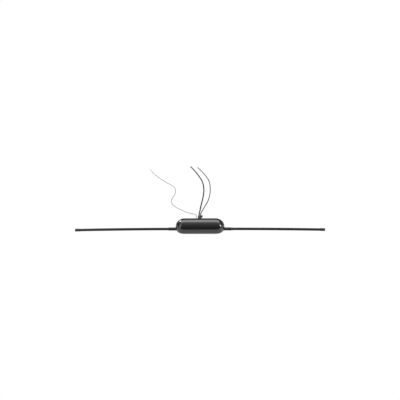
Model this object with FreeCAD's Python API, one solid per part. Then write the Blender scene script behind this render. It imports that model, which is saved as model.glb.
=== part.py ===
"""Hideaway amplified car radio antenna: a capsule-shaped amplifier pod, two flat strips and three leads.

Millimetres. X runs along the elements, Y to the rear, where the leads leave, and Z up.
The origin is the middle of the adhesive pad's underside, on the surface that the antenna lies on.
"""
import FreeCAD, Part
import math
import os

V = FreeCAD.Vector
UP = V(0, 0, 1)
REAR = V(0, 1, 0)
RIGHT = V(1, 0, 0)

# Elements, the two flat strips
overall_length = 560.0
jacket_width = 8.0
jacket_thickness = 3.0
jacket_corner = 1.2
core_width = 5.0
core_thickness = 0.8
core_clearance = 0.1
core_setback = 1.0
core_end_gap = 2.0
root_sleeve_length = 18.5
root_sleeve_wall = 0.6
root_sleeve_corner = 1.7
root_step_length = 3.0
root_head_width = 11.6
root_head_thickness = 2.4
root_head_setback = 2.0
tip_cap_length = 11.0
tip_cap_wall = 0.3
tip_cap_end = 3.0
tip_cap_groove = 1.0
tip_cap_groove_depth = 0.12
tip_cap_corner = 3.0
slip_fit = 0.08

# Adhesive pad under the pod
pad_end_margin = 10.0
pad_side_margin = 7.8
pad_thickness = 1.0

# Pod, a capsule in plan: straight in the middle and half round at both ends
pod_length = 109.0
pod_depth = 39.6
tray_height = 9.0
dome_height = 18.4
pod_wall = 2.0
tray_floor = 2.0
foot_inset = 3.4
foot_height = 8.0
seam_groove = 0.35
tongue_height = 1.5
tongue_thickness = 0.9
moulding_gap = 0.1
cut_over = 1.0
element_rise = 3.2
quarter_ellipse = 0.5523

# Screws that hold the cover, driven from below
cover_screw_from_end = 14.5
cover_screw_y = 9.5
screw_shank_radius = 1.1
screw_head_radius = 2.0
screw_head_height = 1.0
screw_length = 9.0
screw_hole_gap = 0.05
screw_pilot_spare = 2.0
boss_radius = 2.9
cover_rib_x = 20.0
cover_rib_thickness = 1.2
cover_rib_depth = 2.5

# Circuit board on four posts of the tray
board_end_gap = 1.1
board_front = 11.0
board_rear = 8.0
board_thickness = 1.6
board_corner = 1.5
post_height = 4.0
post_radius = 2.2
post_from_board_end = 10.0
post_front = 8.4
post_rear = 5.4
board_screw_radius = 0.9
board_screw_head_radius = 1.8
board_screw_head_height = 1.2
board_screw_length = 5.0

# Terminal blocks that grip the elements' cores
block_length = 10.0
block_width = 8.0
block_overlap = 5.0
block_screw_radius = 1.5
block_screw_head_radius = 2.4
block_screw_head_height = 1.6
block_screw_from_end = 2.3
driver_slot_width = 0.6
driver_slot_depth = 0.6

# Parts on the board
toroid_outer = 4.6
toroid_inner = 2.3
toroid_height = 3.2
toroid_x = 0.0
toroid_y = -5.0
winding_turns = 12
winding_wire = 0.5
winding_gap = 0.05
transistor_radius = 2.4
transistor_height = 4.6
transistor_flat = 1.2
transistor_lead_height = 2.0
transistor_lead_width = 0.5
transistor_lead_pitch = 1.27
transistor_x = -9.5
transistor_y = -5.5
capacitor_radius = 2.5
capacitor_height = 7.0
capacitor_groove_radius = 0.3
capacitor_groove_height = 1.3
capacitor_places = ((8.6, -5.5), (12.3, 0.6))
choke_radius = 1.5
choke_length = 7.0
choke_lead_radius = 0.3
choke_lead_length = 1.6
choke_x = -12.0
choke_y = 0.0
chip_length = 2.0
chip_width = 1.25
chip_height = 0.6
chip_pitch = 2.9
chip_count = 4
chip_row_x = 3.0
chip_row_y = 4.6

# Leads: diameters and where they leave the rear wall
coax_diameter = 3.0
power_diameter = 2.1
earth_diameter = 1.4
gland_x = -0.8
coax_offset = -1.6
power_offset = 1.6
lead_rise = 5.5
earth_exit_x = -8.6

# Lead gland, a moulded strain relief with a neck in the rear wall
gland_length = 27.2
gland_root_width = 10.0
gland_root_height = 7.4
gland_end_width = 8.0
gland_end_height = 5.2
gland_corner = 2.3
gland_neck_width = 7.6
gland_flange_width = 11.0
gland_flange_thickness = 1.5
gland_groove_count = 4
gland_groove_width = 1.3
gland_groove_depth = 0.8
gland_groove_start = 7.5
gland_groove_pitch = 4.4

# Earth lead grommet
grommet_neck_radius = 1.4
grommet_flange_radius = 2.2
grommet_flange_thickness = 1.0
grommet_nose_length = 4.2
grommet_nose_root_radius = 1.8
grommet_nose_radius = 1.2

# Tie round the two black leads behind the gland
tie_distance = 6.0
tie_width = 2.6
tie_thickness = 0.8
tie_head_size = 4.2
tie_head_height = 4.0
tie_head_corner = 0.6
tie_tail_length = 1.6
tie_gap = 0.1
tie_sag = 0.3

# Tails of the leads inside the pod, and the saddle over the coaxial one
tail_drop_y = 2.0
tail_slope_length = 2.2
saddle_width = 3.0
saddle_thickness = 0.5
saddle_foot = 2.0
saddle_from_edge = 3.2
saddle_gap = 0.05

# Put-away coils: mean radius, turns, layers, and where each stands
coil_layers = 4
coax_coil_radius = 18.0
coax_coil_turns = 18.25
coax_coil_place = (-66.0, 352.0)
power_coil_radius = 11.55
power_coil_turns = 12.325
power_coil_place = (-3.9, 344.8)
earth_coil_radius = 7.7
earth_coil_turns = 9.3
earth_coil_place = (-128.0, 341.0)
coil_corner_share = 0.45
coil_tie_thickness = 0.6
coil_tie_width = 3.0
coil_tie_gap = 0.2

# Antenna plug on the coaxial lead
plug_start = (-110.0, 376.6)
boot_length = 24.0
boot_root_radius = 2.6
boot_radius = 5.2
boot_shoulder = 9.0
boot_shoulder_step = 1.2
boot_shoulder_slope = 1.5
boot_chamfer = 0.6
boot_rib_count = 3
boot_rib_width = 1.2
boot_rib_depth = 0.5
boot_rib_pitch = 2.6
boot_rib_start = 16.0
barrel_radius = 4.7
barrel_length = 14.0
barrel_wall = 0.8
barrel_chamfer = 0.4
barrel_slot_width = 0.8
barrel_slot_length = 9.0
barrel_collar_length = 2.5
barrel_slot_turns = (45, 135)
plug_pin_radius = 1.55
plug_pin_root_radius = 1.2
plug_pin_length = 12.0
plug_pin_nose = 1.2

# Bullet on the power lead
bullet_start = (21.0, 358.6)
bullet_sleeve_length = 12.0
bullet_sleeve_radius = 2.6
bullet_sleeve_root = 1.9
bullet_sleeve_taper = 2.5
bullet_sleeve_chamfer = 0.4
bullet_radius = 1.98
bullet_length = 9.0
bullet_waist_depth = 0.35
bullet_waist_length = 1.4
bullet_waist_start = 4.6
bullet_waist_slope = 0.3
bullet_nose = 1.6
nose_steps = 5
nose_flat = 0.3

# Ring terminal on the earth lead
ring_start = (-113.5, 350.4)
ring_crimp_length = 6.0
ring_crimp_radius = 1.5
ring_hole_radius = 2.65
ring_outer_radius = 4.2
ring_thickness = 0.8
ring_reach = 12.4
ring_neck_width = 3.4
ring_neck_lap = 2.0

# Heights and places that follow from the sizes above
pod_base = pad_thickness
parting_z = pod_base + tray_height
crown_z = parting_z + dome_height
floor_z = pod_base + tray_floor
half_depth = pod_depth / 2
round_centre = pod_length / 2 - half_depth
pad_length = pod_length - 2 * pad_end_margin
pad_depth = pod_depth - 2 * pad_side_margin
cover_screw_x = pod_length / 2 - cover_screw_from_end
board_length = 2 * (cover_screw_x - boss_radius - board_end_gap)
post_x = board_length / 2 - post_from_board_end
element_z = pod_base + element_rise
element_root = pod_length / 2
head_outer_x = element_root - pod_wall - root_head_setback
head_inner_x = head_outer_x - root_head_thickness
tip_x = overall_length / 2
tip_cap_width = jacket_width + 2 * tip_cap_wall
tip_cap_thickness = jacket_thickness + 2 * tip_cap_wall
droop = element_z - tip_cap_thickness / 2
droop_radius = ((tip_x - element_root) ** 2 + droop ** 2) / (2 * droop)
board_z = floor_z + post_height
board_top = board_z + board_thickness
block_inner_x = board_length / 2 - block_overlap
block_outer_x = block_inner_x + block_length
lead_z = pod_base + lead_rise
gland_end = half_depth + gland_length
coax_x = gland_x + coax_offset
power_x = gland_x + power_offset
grommet_end = half_depth + grommet_flange_thickness + grommet_nose_length
coax_floor = coax_diameter / 2
power_floor = power_diameter / 2
earth_floor = earth_diameter / 2
coil_base = coil_tie_thickness + coil_tie_gap

# Route of the coaxial lead, from the gland along the surface to its coil
coax_route = [
    (coax_x, gland_end, lead_z),
    (coax_x, gland_end + 11.0, lead_z),
    (-1.0, 80.0, coax_floor),
    (2.4, 116.0, coax_floor),
    (7.6, 156.0, coax_floor),
    (10.2, 196.0, coax_floor),
    (6.5, 238.0, coax_floor),
    (-6.4, 279.0, coax_floor),
    (-21.3, 316.0, coax_floor),
    (-34.5, 341.0, 1.9),
    (-43.5, 362.5, 2.3),
]
coax_end_route = [
    (-60.0, 376.6, 11.3),
    (-75.0, 377.0, 11.1),
    (-88.0, 376.5, 7.4),
    (plug_start[0] + 11.0, plug_start[1], boot_radius),
    (plug_start[0], plug_start[1], boot_radius),
]

# Route of the power lead
power_route = [
    (power_x, gland_end, lead_z),
    (power_x, gland_end + 11.0, lead_z),
    (2.0, 78.0, power_floor),
    (9.0, 103.0, power_floor),
    (18.4, 134.0, power_floor),
    (24.0, 168.0, power_floor),
    (25.0, 204.0, power_floor),
    (23.6, 240.0, power_floor),
    (11.2, 279.0, power_floor),
    (-5.7, 316.0, power_floor),
    (-15.0, 334.0, 1.4),
    (-17.8, 349.0, 1.85),
]
power_end_route = [
    (-8.5, 359.5, 8.1),
    (1.0, 359.8, 7.7),
    (8.5, 358.3, 3.9),
    (bullet_start[0] - 6.0, bullet_start[1], bullet_sleeve_radius),
    (bullet_start[0], bullet_start[1], bullet_sleeve_radius),
]

# Route of the earth lead
earth_route = [
    (earth_exit_x, grommet_end, lead_z),
    (earth_exit_x, grommet_end + 6.5, lead_z),
    (-8.5, 42.0, earth_floor),
    (-8.4, 56.0, earth_floor),
    (-8.6, 65.5, earth_floor),
    (-9.6, 72.6, earth_floor),
    (-15.5, 75.4, earth_floor),
    (-26.5, 80.0, earth_floor),
    (-41.0, 91.5, earth_floor),
    (-54.5, 105.0, earth_floor),
    (-64.0, 119.0, earth_floor),
    (-68.5, 134.0, earth_floor),
    (-66.4, 152.0, earth_floor),
    (-60.0, 169.0, earth_floor),
    (-58.6, 190.0, earth_floor),
    (-60.2, 208.0, earth_floor),
    (-73.0, 223.5, earth_floor),
    (-90.0, 243.5, earth_floor),
    (-107.5, 268.0, earth_floor),
    (-120.5, 294.0, earth_floor),
    (-131.5, 321.0, earth_floor),
    (-136.4, 334.0, 1.1),
    (-136.5, 345.5, 1.5),
]
earth_end_route = [
    (-131.0, 350.2, 5.7),
    (-124.5, 350.6, 5.0),
    (ring_start[0] - 5.0, ring_start[1], ring_crimp_radius),
    (ring_start[0], ring_start[1], ring_crimp_radius),
]

arc_share = 0.45
nodes = []


def node(name, shape):
    """Keep a sub-part under its name, and write it to its file."""
    nodes.append((name, shape))
    shape.exportStep(f"parts/{name}.step")


def box(x0, x1, y0, y1, z0, z1):
    """Box between two corners."""
    return Part.makeBox(x1 - x0, y1 - y0, z1 - z0, V(x0, y0, z0))


def mirrored(shape):
    """The same piece on the other side of the middle plane."""
    return shape.mirror(V(0, 0, 0), RIGHT)


def rounded_rectangle(width, height, corner, centre, across, upward):
    """Closed wire of a rectangle with round corners in the plane of two unit vectors."""
    corner = min(corner, 0.49 * width, 0.49 * height)
    edges = []
    quarters = [(1, 1, 0), (-1, 1, 90), (-1, -1, 180), (1, -1, 270)]

    def at(a, b):
        return centre + across * a + upward * b

    ends = []
    for side, level, start in quarters:
        mid_a = side * (width / 2 - corner)
        mid_b = level * (height / 2 - corner)
        points = []
        for turn in (0, 45, 90):
            angle = math.radians(start + turn)
            points.append(at(mid_a + corner * math.cos(angle), mid_b + corner * math.sin(angle)))
        ends.append(points)
    for i, points in enumerate(ends):
        edges.append(Part.Arc(*points).toShape())
        edges.append(Part.LineSegment(points[2], ends[(i + 1) % 4][0]).toShape())
    return Part.Wire(edges)


def stadium(length, depth, z0, z1):
    """Solid with a plan of two half circles joined by straight sides."""
    radius = depth / 2
    reach = length / 2 - radius
    body = box(-reach, reach, -radius, radius, z0, z1)
    for side in (-1, 1):
        body = body.fuse(Part.makeCylinder(radius, z1 - z0, V(side * reach, 0, z0)))
    return body.removeSplitter()


# Pod mouldings

def quarter_edge(y_side, z_side, y_end, z_end):
    """Quarter of an ellipse that leaves its first point upright and meets its second one level."""
    curve = Part.BezierCurve()
    curve.setPoles([
        V(0, y_side, z_side),
        V(0, y_side, z_side + quarter_ellipse * (z_end - z_side)),
        V(0, y_end + quarter_ellipse * (y_side - y_end), z_end),
        V(0, y_end, z_end),
    ])
    return curve.toShape()


def dome_edge(half_width, base, height):
    """Quarter of an ellipse from the wall up to the crown, in the plane of Y and Z."""
    return quarter_edge(half_width, base, 0, base + height)


def line(y0, z0, y1, z1):
    """Straight edge in the plane of Y and Z."""
    return Part.LineSegment(V(0, y0, z0), V(0, y1, z1)).toShape()


def capsule(edges):
    """Pod-shaped solid of a half section: drawn out along X and turned round at both ends."""
    half = Part.Face(Part.Wire(edges))
    other = half.mirror(V(0, 0, 0), REAR)
    reach = round_centre
    body = None
    for face in (half, other):
        piece = face.translated(V(-reach, 0, 0)).extrude(V(2 * reach, 0, 0))
        body = piece if body is None else body.fuse(piece)
    right_end = half.translated(V(reach, 0, 0)).revolve(V(reach, 0, 0), UP, -180)
    left_end = half.translated(V(-reach, 0, 0)).revolve(V(-reach, 0, 0), UP, 180)
    return body.fuse([right_end, left_end]).removeSplitter()


def foot_edges(half_width, base, height):
    """Underside and the tall round foot that draws the wall in towards it."""
    reach = half_width - foot_inset
    return [
        line(0, base, reach, base),
        quarter_edge(half_width, base + height, reach, base),
    ]


def pod_envelope():
    """The pod's outside as one solid."""
    edges = foot_edges(half_depth, pod_base, foot_height)
    edges.append(line(half_depth, pod_base + foot_height, half_depth, parting_z))
    edges.append(dome_edge(half_depth, parting_z, dome_height))
    edges.append(line(0, crown_z, 0, pod_base))
    return capsule(edges)


def tray_shell():
    """Lower moulding: floor, wall and the tongue that enters the cover."""
    tongue_outer = half_depth - pod_wall + tongue_thickness
    inner = half_depth - pod_wall
    groove = seam_groove
    tongue_top = parting_z + tongue_height
    edges = foot_edges(half_depth, pod_base, foot_height)
    edges.append(line(half_depth, pod_base + foot_height, half_depth, parting_z - groove))
    edges.append(line(half_depth, parting_z - groove, half_depth - groove, parting_z))
    edges.append(line(half_depth - groove, parting_z, tongue_outer, parting_z))
    edges.append(line(tongue_outer, parting_z, tongue_outer, tongue_top))
    edges.append(line(tongue_outer, tongue_top, inner, tongue_top))
    edges.append(line(inner, tongue_top, inner, pod_base + foot_height))
    edges.append(quarter_edge(inner, pod_base + foot_height, inner - foot_inset, floor_z))
    edges.append(line(inner - foot_inset, floor_z, 0, floor_z))
    edges.append(line(0, floor_z, 0, pod_base))
    return capsule(edges)


def cover_shell():
    """Upper moulding: an elliptical dome of even wall, with a rebate for the tray's tongue."""
    inner = half_depth - pod_wall
    groove = seam_groove
    edges = [
        line(half_depth - groove, parting_z, half_depth, parting_z + groove),
        dome_edge(half_depth, parting_z + groove, dome_height - groove),
        line(0, crown_z, 0, crown_z - pod_wall),
        dome_edge(inner, parting_z, dome_height - pod_wall),
        line(inner, parting_z, half_depth - groove, parting_z),
    ]
    rebate_outer = inner + tongue_thickness + moulding_gap
    rebate_top = parting_z + tongue_height + moulding_gap
    rebate = [
        line(0, parting_z, rebate_outer, parting_z),
        line(rebate_outer, parting_z, rebate_outer, rebate_top),
        line(rebate_outer, rebate_top, 0, rebate_top),
        line(0, rebate_top, 0, parting_z),
    ]
    return capsule(edges).cut(capsule(rebate))


def screw_places():
    """Where the four cover screws stand."""
    return [(sx * cover_screw_x, sy * cover_screw_y) for sx in (-1, 1) for sy in (-1, 1)]


def post_places():
    """Where the four board posts stand."""
    return [(sx * post_x, y) for sx in (-1, 1) for y in (-post_front, post_rear)]


def gland_window(gap):
    """Slot in the rear wall for the gland's neck, open at the parting line."""
    half = gland_neck_width / 2 + gap
    return box(gland_x - half, gland_x + half, half_depth - 2 * pod_wall - foot_inset, half_depth + cut_over,
               floor_z, parting_z + tongue_height + cut_over)


def base_tray():
    """Lower shell with posts, screw towers, element windows and the gland slot."""
    tray = tray_shell()
    tower_top = floor_z + post_height
    for x, y in screw_places():
        tray = tray.fuse(Part.makeCylinder(boss_radius, post_height, V(x, y, floor_z)))
    for x, y in post_places():
        tray = tray.fuse(Part.makeCylinder(post_radius, post_height, V(x, y, floor_z)))
    tray = tray.removeSplitter()
    for x, y in screw_places():
        foot = V(x, y, pod_base)
        head = Part.makeCylinder(screw_head_radius + moulding_gap, screw_head_height + moulding_gap, foot)
        shank = Part.makeCylinder(screw_shank_radius + moulding_gap, tower_top - pod_base, foot)
        tray = tray.cut(head).cut(shank)
    for x, y in post_places():
        tray = tray.cut(Part.makeCylinder(board_screw_radius + screw_hole_gap, board_screw_length,
                                          V(x, y, board_top - board_screw_length)))
    window_half = jacket_width / 2 + root_sleeve_wall + slip_fit
    window_rise = jacket_thickness / 2 + root_sleeve_wall + slip_fit
    head_half = root_head_width / 2 + slip_fit
    inside_x = head_inner_x - slip_fit
    for side in (-1, 1):
        window = box(inside_x, pod_length / 2 + cut_over, -window_half, window_half,
                     element_z - window_rise, element_z + window_rise)
        pocket = box(inside_x, head_outer_x + slip_fit, -head_half, head_half,
                     element_z - window_rise, element_z + window_rise)
        opening = window.fuse(pocket)
        tray = tray.cut(opening if side > 0 else mirrored(opening))
    tray = tray.cut(gland_window(moulding_gap))
    wall_face = half_depth - pod_wall
    flange_half = gland_flange_width / 2 + moulding_gap
    tray = tray.cut(box(gland_x - flange_half, gland_x + flange_half, wall_face - foot_inset, wall_face,
                        floor_z, parting_z))
    tray = tray.cut(Part.makeCylinder(grommet_flange_radius + slip_fit, foot_inset,
                                      V(earth_exit_x, wall_face - foot_inset, lead_z), REAR))
    grommet_hole = Part.makeCylinder(grommet_neck_radius + slip_fit, 2 * pod_wall,
                                     V(earth_exit_x, wall_face - pod_wall / 2, lead_z), REAR)
    return tray.cut(grommet_hole)


def upper_cover():
    """Domed shell with four screw bosses and two ribs."""
    cover = cover_shell()
    envelope = pod_envelope()
    boss_bottom = floor_z + post_height
    inner = half_depth - pod_wall - moulding_gap
    for x, y in screw_places():
        boss = Part.makeCylinder(boss_radius, crown_z, V(x, y, boss_bottom)).common(envelope)
        cover = cover.fuse(boss)
    for side in (-1, 1):
        x = side * cover_rib_x
        band = box(x - cover_rib_thickness / 2, x + cover_rib_thickness / 2, -inner, inner,
                   parting_z + tongue_height + cut_over, crown_z)
        depth = pod_wall + cover_rib_depth
        edges = [
            dome_edge(half_depth - depth, parting_z, dome_height - depth),
            line(0, crown_z - depth, 0, parting_z),
            line(0, parting_z, half_depth - depth, parting_z),
        ]
        cover = cover.fuse(band.common(envelope).cut(capsule(edges)))
    cover = cover.removeSplitter()
    pilot = screw_length - (boss_bottom - pod_base) + screw_pilot_spare
    for x, y in screw_places():
        cover = cover.cut(Part.makeCylinder(screw_shank_radius + screw_hole_gap, pilot, V(x, y, boss_bottom)))
    return cover


def cover_screws():
    """Four self-tapping screws with flat heads, as one group."""
    group = []
    for x, y in screw_places():
        foot = V(x, y, pod_base)
        head = Part.makeCylinder(screw_head_radius, screw_head_height, foot)
        shank = Part.makeCylinder(screw_shank_radius, screw_length, foot)
        point = Part.makeCone(screw_shank_radius, screw_shank_radius / 3, screw_shank_radius,
                              V(x, y, pod_base + screw_length))
        slot = box(x - screw_head_radius, x + screw_head_radius,
                   y - driver_slot_width / 2, y + driver_slot_width / 2, pod_base, pod_base + driver_slot_depth)
        group.append(head.fuse([shank, point]).removeSplitter().cut(slot))
    return Part.makeCompound(group)


# Circuit board and its parts

def circuit_board():
    """Board with round corners and its screw holes."""
    middle = (board_rear - board_front) / 2
    outline = rounded_rectangle(board_length, board_front + board_rear, board_corner,
                                V(0, middle, board_z), RIGHT, REAR)
    board = Part.Face(outline).extrude(V(0, 0, board_thickness))
    for x, y in post_places():
        hole = Part.makeCylinder(board_screw_radius + moulding_gap, board_thickness, V(x, y, board_z))
        board = board.cut(hole)
    return board


def board_screws():
    """Four small screws that hold the board to its posts, as one group."""
    group = []
    for x, y in post_places():
        head = Part.makeCylinder(board_screw_head_radius, board_screw_head_height, V(x, y, board_top))
        shank = Part.makeCylinder(board_screw_radius, board_screw_length,
                                  V(x, y, board_top - board_screw_length))
        slot = box(x - board_screw_head_radius, x + board_screw_head_radius,
                   y - driver_slot_width / 2, y + driver_slot_width / 2,
                   board_top + board_screw_head_height - driver_slot_depth, board_top + board_screw_head_height)
        group.append(head.fuse(shank).removeSplitter().cut(slot))
    return Part.makeCompound(group)


def terminal_block():
    """Brass block under the right end of the board, slotted for the core and bored for its screw."""
    block = box(block_inner_x, block_outer_x, -block_width / 2, block_width / 2, floor_z, board_z)
    slot_half = core_width / 2 + core_clearance
    slot_rise = core_thickness / 2 + core_clearance
    block = block.cut(box(block_inner_x - cut_over, block_outer_x + cut_over, -slot_half, slot_half,
                          element_z - slot_rise, element_z + slot_rise))
    screw_x = block_outer_x - block_screw_from_end
    hole = Part.makeCylinder(block_screw_radius + screw_hole_gap, board_z - element_z, V(screw_x, 0, element_z))
    return block.cut(hole)


def terminal_screw():
    """Slotted screw that presses on the core in the right block."""
    screw_x = block_outer_x - block_screw_from_end
    tip_z = element_z + core_thickness / 2 + screw_hole_gap
    shank = Part.makeCylinder(block_screw_radius, board_z - tip_z, V(screw_x, 0, tip_z))
    head = Part.makeCylinder(block_screw_head_radius, block_screw_head_height, V(screw_x, 0, board_z))
    slot = box(screw_x - block_screw_head_radius, screw_x + block_screw_head_radius,
               -driver_slot_width / 2, driver_slot_width / 2,
               board_z + block_screw_head_height - driver_slot_depth, board_z + block_screw_head_height)
    return shank.fuse(head).removeSplitter().cut(slot)


def transformer_core():
    """Ferrite ring that lies on the lower legs of its winding."""
    base = V(toroid_x, toroid_y, board_top + winding_wire + winding_gap)
    ring = Part.makeCylinder(toroid_outer, toroid_height, base)
    return ring.cut(Part.makeCylinder(toroid_inner, toroid_height, base))


def transformer_winding():
    """Turns of enamelled wire round the ring, evenly spaced."""
    base_z = board_top
    inner = toroid_inner - winding_gap
    outer = toroid_outer + winding_gap
    top = base_z + winding_wire + 2 * winding_gap + toroid_height
    loops = []
    for turn in range(winding_turns):
        loop = box(inner - winding_wire, outer + winding_wire, -winding_wire / 2, winding_wire / 2,
                   base_z, top + winding_wire)
        loop = loop.cut(box(inner, outer, -winding_wire, winding_wire, base_z + winding_wire, top))
        loop.rotate(V(0, 0, 0), UP, 360.0 * turn / winding_turns)
        loop.translate(V(toroid_x, toroid_y, 0))
        loops.append(loop)
    return Part.makeCompound(loops)


def transistor():
    """Small plastic transistor: a round body with one flat, on three leads."""
    body_z = board_top + transistor_lead_height
    body = Part.makeCylinder(transistor_radius, transistor_height, V(transistor_x, transistor_y, body_z))
    body = body.cut(box(transistor_x - transistor_radius, transistor_x + transistor_radius,
                        transistor_y - transistor_radius, transistor_y - transistor_flat,
                        body_z, body_z + transistor_height))
    half = transistor_lead_width / 2
    for step in (-1, 0, 1):
        x = transistor_x + step * transistor_lead_pitch
        body = body.fuse(box(x - half, x + half, transistor_y - half, transistor_y + half, board_top, body_z))
    return body.removeSplitter()


def capacitors():
    """Two electrolytic cans with a crimped groove, as one group."""
    cans = []
    for x, y in capacitor_places:
        can = Part.makeCylinder(capacitor_radius, capacitor_height, V(x, y, board_top))
        crimp = Part.makeTorus(capacitor_radius + capacitor_groove_radius / 3, capacitor_groove_radius,
                               V(x, y, board_top + capacitor_groove_height))
        cans.append(can.cut(crimp))
    return Part.makeCompound(cans)


def choke():
    """Axial choke lying on the board with its two leads."""
    z = board_top + choke_radius
    body = Part.makeCylinder(choke_radius, choke_length, V(choke_x - choke_length / 2, choke_y, z), RIGHT)
    reach = choke_length / 2 + choke_lead_length
    route = [
        (choke_x - reach, choke_y, board_top),
        (choke_x - reach, choke_y, z),
        (choke_x + reach, choke_y, z),
        (choke_x + reach, choke_y, board_top),
    ]
    return body.fuse(cord_tube("choke lead", route, 2 * choke_lead_radius)).removeSplitter()


def chip_parts():
    """A row of chip resistors and capacitors, as one group."""
    chips = []
    for i in range(chip_count):
        x = chip_row_x + i * chip_pitch
        chips.append(box(x, x + chip_length, chip_row_y, chip_row_y + chip_width,
                         board_top, board_top + chip_height))
    return Part.makeCompound(chips)


# Elements

def droop_point(x):
    """Point of the element's middle line: level in the pod, then a long arc down to the surface."""
    if x <= element_root:
        return V(x, 0, element_z)
    return V(x, 0, element_z - droop_radius + math.sqrt(droop_radius ** 2 - (x - element_root) ** 2))


def element_path(x_start, x_end):
    """Wire along the element's middle line."""
    edges = []
    arc_start = max(x_start, element_root)
    if x_start < element_root:
        edges.append(Part.LineSegment(droop_point(x_start), droop_point(min(x_end, element_root))).toShape())
    if x_end > element_root:
        middle = droop_point((arc_start + x_end) / 2)
        edges.append(Part.Arc(droop_point(arc_start), middle, droop_point(x_end)).toShape())
    return Part.Wire(edges)


def element_bar(x_start, x_end, width, thickness, corner):
    """Bar of a rounded rectangular section that follows the element's middle line, on the right side."""
    start = droop_point(x_start)
    slope = 0.0 if x_start <= element_root else math.asin((x_start - element_root) / droop_radius)
    upward = V(math.sin(slope), 0, math.cos(slope))
    section = rounded_rectangle(width, thickness, corner, start, REAR, upward)
    return element_path(x_start, x_end).makePipeShell([section], True, False)


def element_core():
    """Flat metal radiator, from the terminal block into the tip cap."""
    return element_bar(block_inner_x + core_setback, tip_x - tip_cap_end - core_end_gap,
                       core_width, core_thickness, core_thickness / 4)


def element_jacket():
    """Extruded black jacket round the core."""
    end = tip_x - tip_cap_end - slip_fit
    jacket = element_bar(head_inner_x, end, jacket_width, jacket_thickness, jacket_corner)
    slot = element_bar(head_inner_x - cut_over, tip_x - tip_cap_end - core_end_gap + slip_fit,
                       core_width + 2 * core_clearance, core_thickness + 2 * core_clearance, core_thickness / 4)
    return jacket.cut(slot)


def root_sleeve():
    """Sleeve round the root of the jacket, with a head inside the wall and a step at its outer end."""
    outer = element_root + root_sleeve_length
    width = jacket_width + 2 * root_sleeve_wall
    thickness = jacket_thickness + 2 * root_sleeve_wall
    sleeve = element_bar(head_inner_x, outer - root_step_length, width, thickness, root_sleeve_corner)
    step = element_bar(head_inner_x, outer, width - root_sleeve_wall, thickness - root_sleeve_wall,
                       root_sleeve_corner)
    head = element_bar(head_inner_x, head_outer_x, root_head_width, thickness, root_sleeve_corner)
    bore = element_bar(head_inner_x - cut_over, outer + cut_over, jacket_width + 2 * slip_fit,
                       jacket_thickness + 2 * slip_fit, jacket_corner + slip_fit)
    return sleeve.fuse([step, head]).removeSplitter().cut(bore)


def tip_cap():
    """Closed cap over the end of the jacket, round in plan, with a shallow groove near its mouth."""
    mouth = tip_x - tip_cap_length
    cap = element_bar(mouth, tip_x, tip_cap_width, tip_cap_thickness, jacket_corner + tip_cap_wall)
    corner = min(tip_cap_corner, 0.49 * tip_cap_width)
    plan = rounded_rectangle(2 * tip_cap_length, tip_cap_width + slip_fit, corner,
                             V(tip_x - tip_cap_length, 0, -cut_over), RIGHT, REAR)
    cap = cap.common(Part.Face(plan).extrude(V(0, 0, tip_cap_thickness + 2 * cut_over)))
    bore = element_bar(mouth - cut_over, tip_x - tip_cap_end, jacket_width + 2 * slip_fit,
                       jacket_thickness + 2 * slip_fit, jacket_corner + slip_fit)
    groove_x = mouth + 2 * tip_cap_groove
    ring = element_bar(groove_x, groove_x + tip_cap_groove,
                       tip_cap_width + cut_over, tip_cap_thickness + cut_over, jacket_corner)
    waist = element_bar(groove_x - cut_over, groove_x + tip_cap_groove + cut_over,
                        tip_cap_width - 2 * tip_cap_groove_depth, tip_cap_thickness - 2 * tip_cap_groove_depth,
                        jacket_corner)
    return cap.cut(bore).cut(ring.cut(waist))


# Leads where they leave the pod

def gland_loft(shrink, start, end):
    """Tapered body of the gland between two distances behind the pod, thinner by shrink all round."""
    wires = []
    for distance in (start, end):
        share = distance / gland_length
        width = gland_root_width + (gland_end_width - gland_root_width) * share - 2 * shrink
        height = gland_root_height + (gland_end_height - gland_root_height) * share - 2 * shrink
        centre = V(gland_x, half_depth + distance, lead_z)
        wires.append(rounded_rectangle(width, height, gland_corner, centre, RIGHT, UP))
    return Part.makeLoft(wires, True, True)


def lead_gland():
    """Strain relief: a flange inside the wall, a neck in its slot and a ribbed tapered tail behind."""
    body = gland_loft(0, slip_fit, gland_length)
    core = gland_loft(gland_groove_depth, slip_fit, gland_length)
    for i in range(gland_groove_count):
        start = gland_groove_start + i * gland_groove_pitch
        body = body.cut(gland_loft(-cut_over, start, start + gland_groove_width).cut(core))
    half = gland_neck_width / 2
    inside = half_depth - pod_wall - slip_fit
    neck = box(gland_x - half, gland_x + half, inside, half_depth + slip_fit, floor_z, parting_z)
    flange_half = gland_flange_width / 2
    flange = box(gland_x - flange_half, gland_x + flange_half, inside - gland_flange_thickness, inside,
                 floor_z, parting_z)
    return body.fuse([neck, flange]).removeSplitter()


def earth_grommet():
    """Small rubber grommet on the earth lead, with a conical nose."""
    inside = half_depth - pod_wall - grommet_flange_thickness - slip_fit
    start = V(earth_exit_x, inside, lead_z)
    inner = Part.makeCylinder(grommet_flange_radius, grommet_flange_thickness, start, REAR)
    neck_length = pod_wall + grommet_flange_thickness + 2 * slip_fit
    neck = Part.makeCylinder(grommet_neck_radius, neck_length, start, REAR)
    nose_start = half_depth + slip_fit
    outer = Part.makeCylinder(grommet_flange_radius, grommet_flange_thickness,
                              V(earth_exit_x, nose_start, lead_z), REAR)
    nose_base = nose_start + grommet_flange_thickness
    nose = Part.makeCone(grommet_nose_root_radius, grommet_nose_radius, grommet_end - nose_base,
                         V(earth_exit_x, nose_base, lead_z), REAR)
    return inner.fuse([neck, outer, nose]).removeSplitter()


def route_points(route):
    """Route as vectors."""
    return [V(*point) for point in route]


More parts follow.
